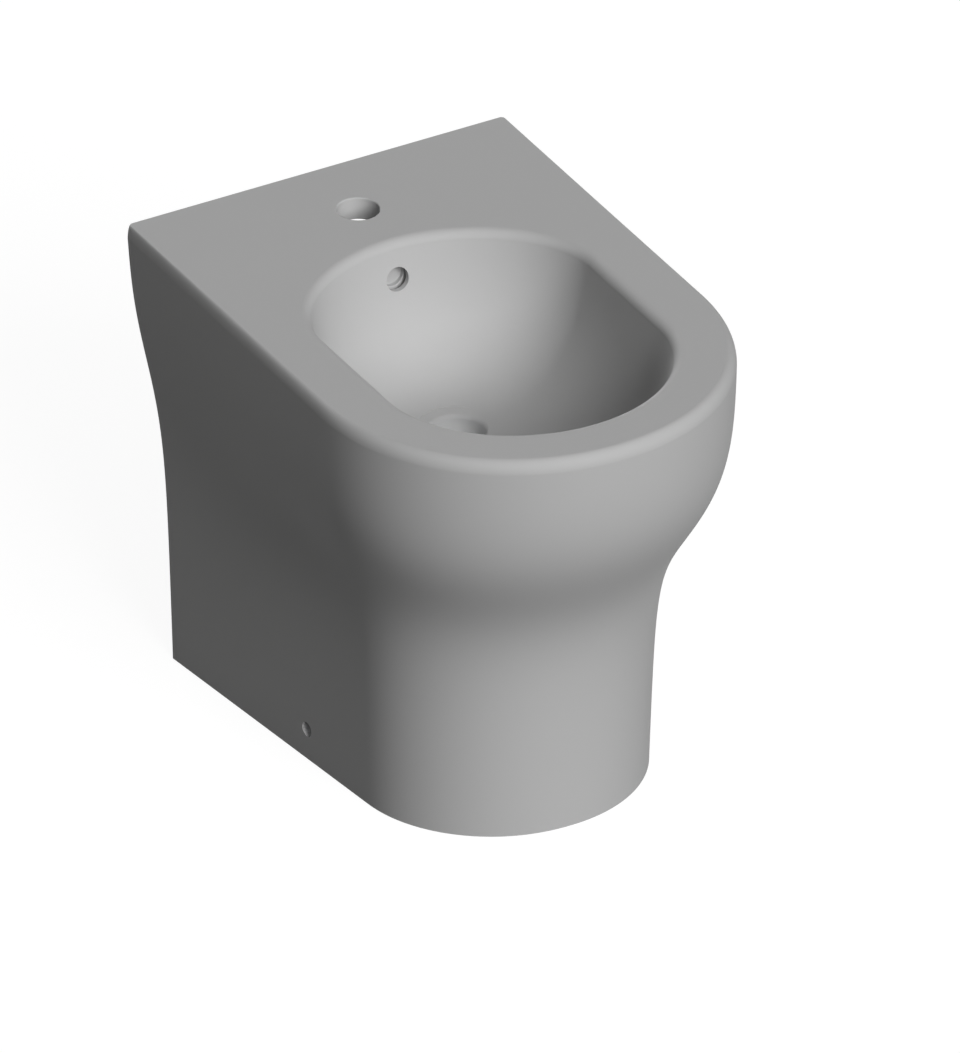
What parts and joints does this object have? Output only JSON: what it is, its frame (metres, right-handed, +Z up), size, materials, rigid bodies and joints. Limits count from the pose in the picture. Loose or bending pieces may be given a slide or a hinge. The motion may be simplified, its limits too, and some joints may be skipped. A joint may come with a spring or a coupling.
{
  "type": "bidet",
  "caption": "Back-to-wall floor-standing bidet: ceramic pan with one tap hole and overflow, push-plug waste, bottle trap and concealed floor fixing.",
  "frame": {"origin": "bottom centre of the overall box, on the floor under the bowl", "axes": "+Z up; +Y towards the wall behind the bidet; -Y towards the user; +X to the right when seen from the front"},
  "size_m": [0.36, 0.5056, 0.402],
  "materials": {
    "china": "satin glaze",
    "chrome": "polished",
    "rubber": "matt",
    "brass": "machined",
    "steel": "zinc plated",
    "white_plastic": "moulded",
    "nylon": "moulded"
  },
  "bodies": {
    "pan": {"ceramic_body": "china", "waste_body": "chrome", "waste_gasket": "rubber", "boss_washer": "rubber", "slip_washer": "nylon", "waste_backnut": "brass", "plug_cartridge": "brass", "plug_spring": "steel", "inlet_nut": "white_plastic", "inlet_washer": "rubber", "inlet_pipe": "white_plastic", "bottle_nut": "white_plastic", "bottle_seal": "rubber", "trap_bottle": "white_plastic", "trap_cup": "white_plastic", "cup_seal": "rubber", "outlet_nut": "white_plastic", "outlet_seal": "rubber", "outlet_pipe": "white_plastic", "floor_angle_left": "steel", "floor_angle_right": "steel", "angle_sleeves": "nylon", "side_screws": "steel"},
    "plug": {"plug_cap": "chrome", "plug_ring": "rubber", "plug_stem": "steel"}
  },
  "joints": [
    {"name": "plug_slide", "type": "slide", "parent": "pan", "child": "plug", "axis": [0, 0, 1], "range_m": [0, 0.008], "deforming": ["plug_spring"]}
  ]
}
